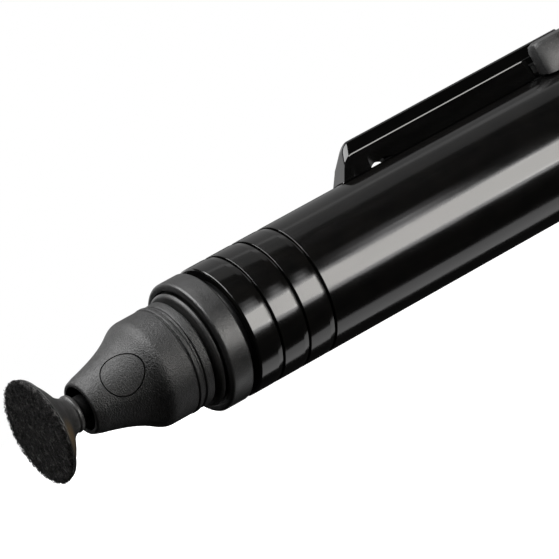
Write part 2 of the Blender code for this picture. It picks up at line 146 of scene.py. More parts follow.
def finish_mesh(form, name, look, sharp=32.0):
    """Turns the form into an object, smooth up to the sharp angle in degrees."""
    mesh = bpy.data.meshes.new(name)
    bmesh.ops.recalc_face_normals(form, faces=form.faces)
    form.to_mesh(mesh)
    form.free()
    mesh.shade_smooth()
    mesh.set_sharp_from_angle(angle=math.radians(sharp))
    return link(name, mesh, look)


def bridge(form, first, second):
    """Faces between two rings of points. A ring of one point is a pole."""
    count = max(len(first), len(second))
    if count == 1:
        return
    for index in range(count):
        after = (index + 1) % count
        if len(first) == 1:
            form.faces.new((first[0], second[index], second[after]))
        elif len(second) == 1:
            form.faces.new((first[index], second[0], first[after]))
        else:
            form.faces.new((first[index], second[index], second[after], first[after]))


def bridge_all(form, rings, capped=False):
    """Faces from each ring to the next and, if capped, one across each end."""
    for first, second in zip(rings, rings[1:]):
        bridge(form, first, second)
    if capped:
        form.faces.new(rings[0])
        form.faces.new(rings[-1])


def fillet(corners, steps=5):
    """Rounds an outline. Each corner is (station, radius) or (station, radius, rounding)."""
    points = []
    for index, corner in enumerate(corners):
        here = Vector(corner[:2])
        size = corner[2] if len(corner) > 2 else 0.0
        if size == 0.0 or index in (0, len(corners) - 1):
            points.append(here)
            continue
        before = Vector(corners[index - 1][:2]) - here
        after = Vector(corners[index + 1][:2]) - here
        size = min(size, 0.49 * before.length, 0.49 * after.length)
        start = here + before.normalized() * size
        end = here + after.normalized() * size
        for step in range(steps + 1):
            t = step / steps
            points.append(start * (1 - t) ** 2 + here * 2 * t * (1 - t) + end * t * t)
    return points


def bezier(start, lead, trail, end, count):
    """Points on a cubic curve from start to end, both included."""
    points = []
    for index in range(count + 1):
        t = index / count
        point = Vector(start) * (1 - t) ** 3 + Vector(lead) * 3 * t * (1 - t) ** 2
        points.append(point + Vector(trail) * 3 * t * t * (1 - t) + Vector(end) * t ** 3)
    return points


def arc(station, radius, angles):
    """Points round a centre on the axis, each at an angle in degrees from the pen's rear."""
    points = []
    for angle in angles:
        turn = math.radians(angle)
        across = radius * math.sin(turn)
        points.append((station + radius * math.cos(turn), across if across > 1e-9 else 0.0))
    return points


def lathe(name, outline, look, sides=160, closed=True, sharp=32.0):
    """A solid of revolution about the axis from (station, radius) points; a closed outline has a bore."""
    form = bmesh.new()
    rings = []
    for station, radius in outline:
        if radius < 1e-7:
            rings.append([form.verts.new(at(station))])
            continue
        ring = []
        for side in range(sides):
            angle = 2 * math.pi * side / sides
            ring.append(form.verts.new(at(station, radius * math.sin(angle), radius * math.cos(angle))))
        rings.append(ring)
    bridge_all(form, rings)
    if closed:
        bridge(form, rings[-1], rings[0])
    return finish_mesh(form, name, look, sharp)


def cut(item, tool, operation="DIFFERENCE"):
    """Applies a Boolean and removes the tool."""
    step = item.modifiers.new("Cut", "BOOLEAN")
    step.operation = operation
    step.solver = "EXACT"
    step.object = tool
    apply_modifiers(item)
    bpy.data.objects.remove(tool, do_unlink=True)


def apply_modifiers(item, sharp=32.0):
    """Makes the modified shape the object's own mesh."""
    bpy.context.view_layer.update()
    graph = bpy.context.evaluated_depsgraph_get()
    mesh = bpy.data.meshes.new_from_object(item.evaluated_get(graph))
    item.modifiers.clear()
    item.data = mesh
    mesh.shade_smooth()
    mesh.set_sharp_from_angle(angle=math.radians(sharp))


def rod(name, start, end, radius, look, sides=96):
    """A round bar between two points."""
    form = bmesh.new()
    run = end - start
    bmesh.ops.create_cone(
        form, cap_ends=True, segments=sides, radius1=radius, radius2=radius, depth=run.length
    )
    turn = run.to_track_quat("Z", "Y").to_matrix().to_4x4()
    bmesh.ops.transform(form, matrix=Matrix.Translation((start + end) / 2) @ turn, verts=form.verts)
    return finish_mesh(form, name, look)


def block(name, low, high, look):
    """A box between two corners."""
    form = bmesh.new()
    bmesh.ops.create_cube(form, size=1.0)
    place = Matrix.Translation((low + high) / 2) @ Matrix.Diagonal((*(high - low), 1.0))
    bmesh.ops.transform(form, matrix=place, verts=form.verts)
    return finish_mesh(form, name, look)


def settle(item, body, slot, *nodes):
    """Says which body a piece rides on and which CAD nodes it stands for. The slot is not used."""
    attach(item, body)
    if nodes:
        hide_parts(*nodes)


# ---------------------------------------------------------------- materials


class Shader:
    """A small node tree around one Principled shader, with object coordinates in millimetres."""

    def __init__(self, name, colour, roughness, **sockets):
        self.material = bpy.data.materials.new(name)
        self.material.use_nodes = True
        self.tree = self.material.node_tree
        self.shader = self.tree.nodes["Principled BSDF"]
        self.shader.inputs["Base Color"].default_value = (*colour, 1.0)
        self.shader.inputs["Roughness"].default_value = roughness
        for socket, value in sockets.items():
            self.shader.inputs[socket.replace("_", " ")].default_value = value
        place = self.add("ShaderNodeTexCoord")
        scale = self.add("ShaderNodeMapping")
        scale.inputs["Scale"].default_value = (1 / MM, 1 / MM, 1 / MM)
        self.join(place.outputs["Object"], scale.inputs["Vector"])
        self.place = scale.outputs["Vector"]
        self.height = None

    def add(self, kind):
        return self.tree.nodes.new(kind)

    def join(self, source, target):
        self.tree.links.new(source, target)

    def noise(self, scale, detail=3.0, stretch=(1.0, 1.0, 1.0), rough=0.5, distortion=0.0):
        """Noise with this many features to the millimetre."""
        mapping = self.add("ShaderNodeMapping")
        mapping.inputs["Scale"].default_value = stretch
        self.join(self.place, mapping.inputs["Vector"])
        texture = self.add("ShaderNodeTexNoise")
        texture.inputs["Scale"].default_value = scale
        texture.inputs["Detail"].default_value = detail
        texture.inputs["Roughness"].default_value = rough
        texture.inputs["Distortion"].default_value = distortion
        self.join(mapping.outputs["Vector"], texture.inputs["Vector"])
        return texture.outputs["Fac"]

    def cells(self, scale):
        """Distance to the nearest of this many cells to the millimetre."""
        texture = self.add("ShaderNodeTexVoronoi")
        texture.inputs["Scale"].default_value = scale
        self.join(self.place, texture.inputs["Vector"])
        return texture.outputs["Distance"]

    def spot(self, centre, radius):
        """1 at the centre, falling to 0 at the radius."""
        mapping = self.add("ShaderNodeMapping")
        mapping.inputs["Location"].default_value = [-axis / radius for axis in centre]
        mapping.inputs["Scale"].default_value = [MM / radius] * 3
        texture = self.add("ShaderNodeTexGradient")
        texture.gradient_type = "SPHERICAL"
        self.join(self.place, mapping.inputs["Vector"])
        self.join(mapping.outputs["Vector"], texture.inputs["Vector"])
        return texture.outputs["Fac"]

    def mix(self, share, first, colour):
        """From the first colour output to one flat colour."""
        made = self.add("ShaderNodeMix")
        made.data_type = "RGBA"
        self.join(share, made.inputs["Factor"])
        self.join(first, made.inputs["A"])
        made.inputs["B"].default_value = (*colour, 1.0)
        return made.outputs["Result"]

    def ramp(self, source, *stops):
        """Colour stops, each (position, colour)."""
        made = self.add("ShaderNodeValToRGB")
        elements = made.color_ramp.elements
        while len(elements) < len(stops):
            elements.new(0.5)
        for element, (position, colour) in zip(elements, stops):
            element.position = position
            element.color = (*colour, 1.0)
        self.join(source, made.inputs["Fac"])
        return made.outputs["Color"]

    def reach(self, source, low, high, start=0.3, end=0.7):
        """Maps the source's values from start to end onto low to high."""
        made = self.add("ShaderNodeMapRange")
        made.inputs["From Min"].default_value = start
        made.inputs["From Max"].default_value = end
        made.inputs["To Min"].default_value = low
        made.inputs["To Max"].default_value = high
        self.join(source, made.inputs["Value"])
        return made.outputs["Result"]

    def colour(self, source):
        self.join(source, self.shader.inputs["Base Color"])

    def roughness(self, source):
        self.join(source, self.shader.inputs["Roughness"])

    def bump(self, source, depth):
        """Bump of this depth in millimetres. Calls stack up."""
        made = self.add("ShaderNodeBump")
        made.inputs["Strength"].default_value = 1.0
        made.inputs["Distance"].default_value = depth * MM
        self.join(source, made.inputs["Height"])
        if self.height is not None:
            self.join(self.height, made.inputs["Normal"])
        self.height = made.outputs["Normal"]
        self.join(self.height, self.shader.inputs["Normal"])


def grey(value, warm=0.0):
    """A grey, with more red and less blue by the share warm."""
    return (value * (1 + warm), value, value * (1 - warm))


def suede_look():
    """Black suede, mottled by its nap."""
    look = Shader(
        "suede_nap", grey(0.01), 0.95, Sheen_Weight=0.08, Sheen_Roughness=0.5, Specular_IOR_Level=0.1
    )
    patches = look.noise(2.4, 5.0, (1.0, 1.0, 0.55), 0.7, 0.6)
    stops = ((0.43, grey(0.001)), (0.51, grey(0.008, 0.02)), (0.59, grey(0.08, 0.03)))
    look.colour(look.ramp(patches, *stops))
    look.bump(look.noise(2.2, 5.0, (1.0, 1.0, 0.6), 0.75, 0.5), 0.30)
    look.bump(look.noise(10.0, 3.0), 0.06)
    return look.material


def fibre_look():
    """Single fibres of the nap, some a little lighter."""
    look = Shader("suede_fibre", grey(0.01), 0.9, Sheen_Weight=0.05, Specular_IOR_Level=0.1)
    look.colour(look.ramp(look.noise(2.0, 4.0), (0.35, grey(0.002)), (0.68, grey(0.022, 0.03))))
    return look.material


def rubber_look():
    """Smooth dark rubber with dust and a faint brownish stain on the flare."""
    look = Shader("natural_rubber", grey(0.03), 0.42, Specular_IOR_Level=0.5)
    dust = look.noise(6.0, 5.0, rough=0.6)
    plain = look.ramp(dust, (0.35, grey(0.010)), (0.7, grey(0.026, 0.02)))
    stain = look.spot(at(TIP_FACE + 1.0 * MM, -4.2 * MM, -1.8 * MM), 2.1 * MM)
    look.colour(look.mix(look.reach(stain, 0.0, 0.55, 0.0, 0.8), plain, (0.10, 0.065, 0.028)))
    look.roughness(look.reach(look.noise(1.2, 4.0), 0.34, 0.52))
    look.bump(look.noise(9.0, 4.0), 0.012)
    return look.material


def boot_look():
    """Dull black rubber, kept near black with faint reflections as painted shade where the stem shows in
    the nose's mouth.
    """
    # Painted shade: the tone and reflections are held near zero so that the stem reads as the shadow in the
    # nose's mouth.
    look = Shader("boot_rubber_painted_shade", grey(0.001), 0.85, Specular_IOR_Level=0.12)
    look.roughness(look.reach(look.noise(3.0, 3.0), 0.75, 0.95))
    look.bump(look.noise(5.0, 3.0), 0.02)
    return look.material


def grained(name, tone, roughness, grain, depth, fine):
    """Matte moulded plastic. Its grain and its fine grain are in features to the millimetre."""
    look = Shader(name, grey(tone), roughness, Specular_IOR_Level=0.5)
    fleck = look.noise(grain, 3.0, rough=0.65)
    stops = ((0.35, grey(tone * 0.5)), (0.6, grey(tone * 1.1)), (0.75, grey(tone * 3.0)))
    look.colour(look.ramp(fleck, *stops))
    look.roughness(look.reach(look.noise(0.8, 4.0), roughness - 0.06, roughness + 0.06))
    look.bump(look.noise(grain, 2.0, rough=0.6), depth)
    look.bump(look.noise(fine, 2.0), depth * 0.4)
    return look


def grained_look(name, tone, roughness, grain, depth):
    return grained(name, tone, roughness, grain, depth, 2.6 * grain).material


def nose_look():
    """The grained plastic, with painted shade inside the mouth: its reflections fade out there, so it looks
    dull and black.
    """
    look = grained("nose_plastic", 0.003, 0.41, 6.5, 0.065, 17.0)
    # Painted shade: a spot inside the mouth that turns the reflections off, standing in for the shadow in
    # the opening.
    mouth = look.spot(at(span("nose_cone")[0] + 0.35 * MM), 2.62 * MM)
    look.join(look.reach(mouth, 0.5, 0.0, 0.02, 0.12), look.shader.inputs["Specular IOR Level"])
    return look.material


def gloss_look(name, roughness=0.13, tone=0.002):
    """Polished black plastic with faint drawn streaks along the tube and hairline wear."""
    look = Shader(name, grey(tone), roughness, Specular_IOR_Level=0.5)
    look.colour(look.ramp(look.noise(0.5, 3.0), (0.3, grey(tone * 0.8)), (0.7, grey(tone * 1.3, 0.08))))
    look.roughness(look.reach(look.noise(1.4, 5.0, (0.12, 1.0, 1.0)), roughness * 0.8, roughness * 1.25))
    look.bump(look.noise(1.1, 2.0, (0.25, 1.0, 1.0)), 0.004)
    look.bump(look.noise(14.0, 3.0, (0.2, 1.0, 1.0)), 0.0006)
    return look.material


def steel_look():
    """Brushed spring steel."""
    look = Shader("spring_steel", grey(0.5), 0.3, Metallic=1.0)
    look.roughness(look.reach(look.noise(8.0, 4.0, (1.0, 0.1, 1.0)), 0.22, 0.4))
    look.bump(look.noise(14.0, 3.0, (1.0, 0.1, 1.0)), 0.002)
    return look.material


def hair_look():
    """Soft dark brown hair."""
    look = Shader("bristle_hair", (0.03, 0.022, 0.018), 0.5, Specular_IOR_Level=0.4)
    shade = look.noise(2.5, 3.0)
    look.colour(look.ramp(shade, (0.3, (0.012, 0.010, 0.009)), (0.7, (0.055, 0.040, 0.030))))
    look.roughness(look.reach(look.noise(5.0, 2.0), 0.4, 0.6))
    return look.material


def foam_look():
    """Open-celled grey foam."""
    look = Shader("foam_cells", grey(0.03), 0.9)
    look.bump(look.cells(5.0), 0.08)
    look.colour(look.ramp(look.cells(5.0), (0.2, grey(0.012)), (0.8, grey(0.05))))
    return look.material


# ---------------------------------------------------------------- the tip


def pad_point(station, radius, angle):
    """A point of the pad: its edge wavers, and its face undulates and falls back near the edge."""
    across, height = radius * math.sin(angle), radius * math.cos(angle)
    spot = Vector((across, height, station)) / MM
    edge = 0.993 + 0.012 * noise.noise(spot * 1.6) + 0.030 * noise.noise(spot * 3.2)
    relief = 0.0
    if station == TIP_FACE:
        nap = noise.fractal(Vector((spot.x, spot.y * 0.6, 0.0)) * 1.8, 0.7, 2.1, 5)
        relief = (0.05 + 0.07 * nap) * MM
        relief += 0.25 * MM * max(0.0, radius / PAD_RADIUS - 0.93) / 0.07
    return at(station + relief, across * edge, height * edge)


def cleaning_pad(look, fibres):
    """A napped disc with loose fibres."""
    rings, sides = 56, 260
    back = TIP_FACE + PAD_THICKNESS
    outline = [(TIP_FACE, PAD_RADIUS * index / rings) for index in range(rings + 1)]
    outline += [(TIP_FACE + PAD_THICKNESS / 2, PAD_RADIUS), (back, PAD_RADIUS - 0.1 * MM), (back, 0.0)]
    form = bmesh.new()
    grid = []
    for station, radius in outline:
        if radius == 0.0:
            grid.append([form.verts.new(at(station))])
            continue
        angles = [2 * math.pi * side / sides for side in range(sides)]
        grid.append([form.verts.new(pad_point(station, radius, angle)) for angle in angles])
    bridge_all(form, grid)
    pad = finish_mesh(form, "suede_pad", look, 80.0)
    settle(pad, "tip", "suede", "cleaning_pad")
    settle(nap_fibres(fibres), "tip", "suede")


def nap_fibres(look):
    """Short loose fibres lying on the face and standing out at the edge."""
    rng = random.Random(7)
    form = bmesh.new()
    for index in range(NAP_FIBRES):
        at_edge = index % 5 == 0
        radius = PAD_RADIUS * (rng.uniform(0.955, 1.0) if at_edge else math.sqrt(rng.random()) * 0.98)
        angle = rng.uniform(0, 2 * math.pi)
        out = Vector((0.0, math.sin(angle), math.cos(angle)))
        if at_edge:
            start = at(TIP_FACE + rng.uniform(0.05, 0.45) * MM, out.y * radius, out.z * radius)
            lean = out + Vector((rng.uniform(-0.9, 0.4), rng.uniform(-0.7, 0.7), rng.uniform(-0.7, 0.7)))
            length = rng.uniform(0.02, 0.06) * MM
        else:
            start = at(TIP_FACE + 0.06 * MM, out.y * radius, out.z * radius)
            lean = Vector((rng.uniform(-0.35, -0.05), rng.gauss(0, 0.5), rng.gauss(0, 0.8)))
            length = rng.uniform(0.1, 0.3) * MM
        lean.normalize()
        curl = Vector((rng.uniform(-0.3, 0.1), rng.gauss(0, 0.4), rng.gauss(0, 0.4)))
        strand(form, start, lean, curl, length, rng.uniform(0.03, 0.055) * MM)
    return finish_mesh(form, "suede_nap_fibres", look, 180.0)


def strand(form, start, direction, curl, length, radius):
    """A thin tapering fibre from start, bending by curl."""
    steps, sides = 3, 3
    side = direction.cross(Vector((0.31, 0.52, 0.79))).normalized()
    up = direction.cross(side).normalized()
    rings = []
    point = start.copy()
    heading = direction.copy()
    for step in range(steps + 1):
        taper = radius * (1.0 - 0.75 * step / steps)
        ring = []
        for corner in range(sides):
            angle = 2 * math.pi * corner / sides
            ring.append(form.verts.new(point + (side * math.cos(angle) + up * math.sin(angle)) * taper))
        rings.append(ring)
        heading = (heading + curl / steps).normalized()
        point = point + heading * (length / steps)
    bridge_all(form, rings, capped=True)


def tip_cup(look):
    """Thin flange with a crease behind it, trumpet flare, neck, socket and a hollow for the foam."""
    rim = TIP_FACE + PAD_THICKNESS + 0.04 * MM
    end = span("tip_cup")[1]
    flange = fillet(
        [
            (rim, CUP_RIM_RADIUS - 0.5 * MM),
            (rim, CUP_RIM_RADIUS, 0.10 * MM),
            (rim + 0.28 * MM, CUP_RIM_RADIUS - 0.12 * MM, 0.12 * MM),
            (rim + 0.36 * MM, CUP_RIM_RADIUS - 0.50 * MM, 0.10 * MM),
            (rim + 0.52 * MM, CUP_RIM_RADIUS - 0.62 * MM),
        ]
    )
    flare = bezier(
        (rim + 0.52 * MM, CUP_RIM_RADIUS - 0.62 * MM), (rim + 1.75 * MM, 3.75 * MM),
        (rim + 1.9 * MM, 2.3 * MM), (end - 0.62 * MM, NECK_RADIUS - 0.04 * MM), 26,
    )
    bead = fillet(
        [
            (end - 0.62 * MM, NECK_RADIUS - 0.04 * MM),
            (end - 0.45 * MM, NECK_RADIUS + 0.10 * MM, 0.15 * MM),
            (end, NECK_RADIUS + 0.02 * MM, 0.3 * MM),
            (end, 1.10 * MM, 0.06 * MM),
            (HEAD_STATION + 0.6 * MM, 0.83 * MM),
        ]
    )
    socket = arc(HEAD_STATION, SOCKET_RADIUS, [55.0 + 12.5 * step for step in range(1, 11)])
    floor_station = span("foam_backing")[1] + 0.01 * MM
    hollow = node_radius("foam_backing")
    front = [(floor_station, 0.0), (floor_station, hollow), (rim, hollow)]
    outline = front + flange + flare[1:] + bead[1:] + socket
    cup = lathe("rubber_cup", outline, look, closed=False, sharp=50.0)
    settle(cup, "tip", "rubber", "tip_cup")


def foam_disc(look):
    """The soft disc between the pad and the cup, slightly bulging at its edge."""
    start, end = span("foam_backing")
    radius = node_radius("foam_backing")
    thick = end - start
    outline = [(start, 0.0)]
    for step in range(13):
        angle = math.pi * step / 12
        bulge = math.sin(angle) ** 0.6
        outline.append((start + thick * (1 - math.cos(angle)) / 2, radius * (0.955 + 0.04 * bulge)))
    outline.append((end, 0.0))
    disc = lathe("foam_disc", outline, look, closed=False, sharp=60.0)
    settle(disc, "tip", "foam", "foam_backing")


def stem(look):
    """Round head, shank, a boot that fills the nose's mouth and the ball on the cross pin."""
    ball = node_radius("tip_stem")
    outline = [(span("tip_stem")[0], 0.0)]
    outline += arc(HEAD_STATION, HEAD_RADIUS, [180.0 - 13.2 * step for step in range(1, 11)])
    outline += fillet(
        [
            (HEAD_STATION + 0.9 * MM, 0.68 * MM),
            (HEAD_STATION + 1.9 * MM, 0.68 * MM, 0.1 * MM),
            (HEAD_STATION + 2.2 * MM, 1.36 * MM, 0.15 * MM),
            (HEAD_STATION + 3.0 * MM, 1.38 * MM, 0.15 * MM),
            (HEAD_STATION + 3.65 * MM, 0.8 * MM, 0.2 * MM),
            (PIVOT_STATION - ball, 0.7 * MM),
        ]
    )
    outline += arc(PIVOT_STATION, ball, [180.0 - 7.5 * step for step in range(3, 25)])
    item = lathe("stem_and_boot", outline, look, sides=64, closed=False, sharp=60.0)
    settle(item, "stem", "nylon", "tip_stem")


# ---------------------------------------------------------------- nose and rings


def nose_side():
    """The bottle-shaped outer side from the mouth to the back edge."""
    start, end = span("nose_cone")
    mouth = fillet([(start, 2.38 * MM), (start, 2.75 * MM, 0.3 * MM), (start + 0.9 * MM, 3.06 * MM)], 8)
    shoulder = bezier(
        (start + 0.9 * MM, 3.06 * MM), (NOSE_SHOULDER - 1.05 * MM, 4.45 * MM),
        (NOSE_SHOULDER - 1.65 * MM, 5.68 * MM), (NOSE_SHOULDER, NOSE_RADIUS), 44,
    )
    back = fillet(
        [
            (NOSE_SHOULDER, NOSE_RADIUS),
            (end - 0.75 * MM, NOSE_RADIUS, 0.1 * MM),
            (end - 0.62 * MM, NOSE_RADIUS - 0.12 * MM, 0.05 * MM),
            (end - 0.50 * MM, NOSE_RADIUS + 0.07 * MM, 0.1 * MM),
            (end, NOSE_RADIUS + 0.04 * MM, 0.16 * MM),
            (end, NOSE_BORE),
        ]
    )
    return [tuple(point) for point in mouth + shoulder[1:] + back[1:]]


def plug_direction(side):
    """Along the cross pin, towards the near plug (1) or the far one (-1)."""
    return Vector((0.0, -math.cos(PLUG_TILT), math.sin(PLUG_TILT))) * side


def nose_cone(look, plug_look):
    """The nose, with a flush round plug each side in a hairline gap."""
    start, end = span("nose_cone")
    wall_front, wall_back = 10.65 * MM, 12.2 * MM
    bore = [
        (end, NOSE_BORE), (wall_back, NOSE_BORE), (wall_back, 0.8 * MM), (wall_front, 0.8 * MM),
        (wall_front, 2.0 * MM), (start + 0.9 * MM, 2.0 * MM),
    ]
    nose = lathe("nose_shell", nose_side()[:-1] + bore, look, sides=256)
    centre = at(PIVOT_STATION)
    reach = plug_direction(1.0) * 6 * MM
    cut(nose, rod("hole", centre - reach, centre + reach, PLUG_RADIUS, look))
    settle(nose, "body", "matte", "nose_cone")
    for name, node, side in (("plug_near", "pivot_plug_right", 1.0), ("plug_far", "pivot_plug_left", -1.0)):
        inner = centre + plug_direction(side) * 2.15 * MM
        outer = centre + plug_direction(side) * 6 * MM
        plug = rod(name, inner, outer, PLUG_RADIUS - 0.12 * MM, plug_look)
        skin = [(station, radius - 0.02 * MM) for station, radius in nose_side()[:-1]]
        solid = lathe("skin", [(start, 0.0)] + skin + [(end, 0.0)], plug_look, sides=256, closed=False)
        cut(plug, solid, "INTERSECT")
        settle(plug, "body", "matte", node)


def collar(look):
    """A low grained step that the cap slides over, with a groove behind it."""
    start, end = span("cap_seat_collar")
    outline = fillet(
        [
            (start - 0.22 * MM, SPIGOT_RADIUS),
            (start - 0.22 * MM, 5.45 * MM, 0.08 * MM),
            (start, 5.45 * MM, 0.05 * MM),
            (start + 0.1 * MM, 5.62 * MM, 0.1 * MM),
            (end - 0.4 * MM, 5.66 * MM, 0.10 * MM),
            (end - 0.4 * MM, 5.05 * MM, 0.04 * MM),
            (end, 5.05 * MM, 0.04 * MM),
            (end, SPIGOT_RADIUS),
        ]
    )
    settle(lathe("cap_collar", outline, look), "body", "matte", "cap_seat_collar")


def seal_ring(look):
    """A thin rounded lip in front of the front ring."""
    start, end = span("cap_seal_ring")
    outline = fillet(
        [
            (start, SPIGOT_RADIUS),
            (start, 5.9 * MM, 0.2 * MM),
            (start + 0.3 * MM, 6.1 * MM, 0.2 * MM),
            (end, 6.05 * MM, 0.15 * MM),
            (end, SPIGOT_RADIUS),
        ]
    )
    settle(lathe("seal_lip", outline, look), "body", "rubber", "cap_seal_ring")


def front_ring(look):
    """The ring has a rounded front edge, a shallow recess in its face and a crisp rear edge."""
    start, end = span("front_ring")
    outline = fillet(
        [
            (start + 0.35 * MM, SPIGOT_RADIUS),
            (start + 0.35 * MM, 6.15 * MM, 0.08 * MM),
            (start, 6.22 * MM, 0.08 * MM),
            (start, BARREL_RADIUS - 0.02 * MM, 0.42 * MM),
            (end - 0.17 * MM, BARREL_RADIUS - 0.02 * MM, 0.02 * MM),
            (end, BARREL_RADIUS - 0.15 * MM, 0.02 * MM),
            (end, SPIGOT_RADIUS),
        ], 7,
    )
    settle(lathe("cap_stop_ring", outline, look, sides=224), "body", "satin", "front_ring")


def front_bushing(look):
    """A plain sleeve that closes the dark gap behind the front ring."""
    start, end = span("front_bushing")
    outline = fillet(
        [
            (start, SPIGOT_RADIUS),
            (start, 5.65 * MM, 0.1 * MM),
            (end, 5.65 * MM, 0.1 * MM),
            (end, SPIGOT_RADIUS),
        ]
    )
    settle(lathe("front_bush", outline, look), "body", "satin", "front_bushing")


# ---------------------------------------------------------------- barrel and rear


def barrel(look):
    """The tube: a very shallow slope ahead of each groove, a deep narrow groove and a slot on top."""
    start, end = span("barrel")
    corners = [
        (start, BARREL_BORE),
        (start, BARREL_RADIUS - 0.16 * MM, 0.03 * MM),
        (start + 0.16 * MM, BARREL_RADIUS, 0.05 * MM),
    ]
    for station in GROOVES:
        corners += [
            (station - 0.66 * MM, BARREL_RADIUS, 0.03 * MM),
            (station - 0.11 * MM, BARREL_RADIUS - 0.055 * MM, 0.03 * MM),
            (station - 0.11 * MM, GROOVE_FLOOR),
            (station + 0.14 * MM, GROOVE_FLOOR),
            (station + 0.14 * MM, BARREL_RADIUS, 0.05 * MM),
        ]
    corners += [(end, BARREL_RADIUS, 0.06 * MM), (end, BARREL_BORE)]
    tube = lathe("barrel_tube", fillet(corners, 4), look, sides=288, sharp=30.0)
    low, high = 3 * MM, 8 * MM
    ends = (SLOT_START + SLOT_HALF_WIDTH, SLOT_END - SLOT_HALF_WIDTH)
    cut(tube, block("slot", at(ends[0], -SLOT_HALF_WIDTH, low), at(ends[1], SLOT_HALF_WIDTH, high), look))
    for station in ends:
        cut(tube, rod("slot_end", at(station, 0.0, low), at(station, 0.0, high), SLOT_HALF_WIDTH, look))
    settle(tube, "body", "gloss", "barrel")


def tail_ring(look):
    """The rear trim ring, with a plug in the barrel and a dished mouth for the brush."""
    start, end = span("tail_ring")
    shoulder = span("barrel")[1] + 0.12 * MM
    mouth = 4.9 * MM
    outline = fillet(
        [
            (start, mouth),
            (start, 5.7 * MM, 0.1 * MM),
            (shoulder, 5.7 * MM),
            (shoulder, BARREL_RADIUS, 0.08 * MM),
            (end, BARREL_RADIUS, 0.7 * MM),
            (end, 5.5 * MM, 0.25 * MM),
            (end - 0.6 * MM, mouth, 0.2 * MM),
        ], 7,
    )
    settle(lathe("tail_trim_ring", outline, look, sides=224), "body", "satin", "tail_ring")


def ferrule(look):
    """The hair's tube, with a crimped groove near its end."""
    start, end = span("brush_ferrule")
    outline = fillet(
        [
            (start, 3.6 * MM),
            (start, 4.2 * MM, 0.2 * MM),
            (end - 1.6 * MM, 4.2 * MM, 0.05 * MM),
            (end - 1.45 * MM, 4.05 * MM, 0.05 * MM),
            (end - 1.2 * MM, 4.05 * MM, 0.05 * MM),
            (end - 1.05 * MM, 4.2 * MM, 0.05 * MM),
            (end, 4.1 * MM, 0.2 * MM),
            (end, 3.6 * MM, 0.1 * MM),
        ]
    )
    settle(lathe("ferrule_tube", outline, look), "slide", "satin", "brush_ferrule")


def bristles(look):
    """Fine hairs from the ferrule, swelling and closing to a soft rounded end."""
    rng = random.Random(11)
    root = span("brush_ferrule")[1] - 1.6 * MM
    tip = span("brush_bristles")[1]
    steps, corners = 6, (0.0, 2.1, 4.2)
    form = bmesh.new()
    for index in range(HAIRS):
        share = math.sqrt((index + 0.5) / HAIRS)
        angle = index * GOLDEN_ANGLE
        out = Vector((0.0, math.sin(angle), math.cos(angle)))
        dome = (1 - math.sqrt(max(0.0, 1 - (share * 0.92) ** 2))) * 6.5 * MM
        end = tip - dome - rng.uniform(0, 0.5) * MM
        wander = Vector((0.0, rng.gauss(0, 0.06), rng.gauss(0, 0.06))) * MM
        rings = []
        for step in range(steps + 1):
            t = step / steps
            swell = 3.25 + 0.55 * math.sin(math.pi * min(1.0, t * 0.95)) - 0.5 * t * t * share
            radius = share * swell * MM
            centre = at(root + (end - root) * t, out.y * radius, out.z * radius) + wander * t * 2
            size = 0.035 * MM * (1 - 0.8 * t)
            ring = [centre + Vector((0.0, math.sin(turn), math.cos(turn))) * size for turn in corners]
            rings.append([form.verts.new(point) for point in ring])
        bridge_all(form, rings, capped=True)
    hair = finish_mesh(form, "brush_hair", look, 180.0)
    settle(hair, "slide", "bristle", "brush_bristles")


def softened(name, node, look, width, body, slot):
    """A CAD node's shape with its edges rounded."""
    source = frame["nodes"][node]
    form = bmesh.new()
    form.from_mesh(source.data)
    bmesh.ops.remove_doubles(form, verts=form.verts, dist=0.002 * MM)
    bmesh.ops.dissolve_limit(form, angle_limit=math.radians(1.0), verts=form.verts, edges=form.edges)
    item = finish_mesh(form, name, look, 30.0)
    step = item.modifiers.new("Soft edges", "BEVEL")
    step.width = width
    step.segments = 3
    step.limit_method = "ANGLE"
    step.angle_limit = math.radians(35.0)
    apply_modifiers(item, 40.0)
    settle(item, body, slot, node)


# ---------------------------------------------------------------- the clip


def clip_half_section(station, root_start, drop):
    """Points up the near side: bed, drafted side, a fine upright rim, a sloping facet and the ridge."""
    arch = 0.0
    for centre, reach, rise in CLIP_ARCHES:
        if abs(station - centre) < reach:
            arch = max(arch, rise * math.sqrt(1 - ((station - centre) / reach) ** 2))
    draft = math.tan(CLIP_DRAFT)
    rim = CLIP_RIM - drop
    top = CLIP_TOP - drop
    side_top = CLIP_HALF_WIDTH - (rim - BARREL_RADIUS) * draft
    points = []
    for index in range(5):
        across = CLIP_HALF_WIDTH * index / 4
        height = math.sqrt(CLIP_BED ** 2 - across ** 2) + arch
        points.append((across, max(height, CLIP_ROOT_BED) if station > root_start else height))
    low = points[-1][1]
    for share in (0.33, 0.67, 1.0):
        height = low + (rim - low) * share
        points.append((CLIP_HALF_WIDTH - (height - BARREL_RADIUS) * draft, height))
    points.append((side_top + 0.012 * MM, rim + 0.004 * MM))
    points.append((side_top + 0.024 * MM, rim + 0.105 * MM))
    foot = (side_top - 0.03 * MM, rim + 0.135 * MM)
    points.append(foot)
    shoulder = Vector((0.42 * MM, top - 0.16 * MM))
    for index in range(1, 9):
        points.append(tuple(Vector(foot).lerp(shoulder, index / 8)))
    points += [(0.28 * MM, top - 0.06 * MM), (0.14 * MM, top - 0.012 * MM), (0.0, top)]
    return points


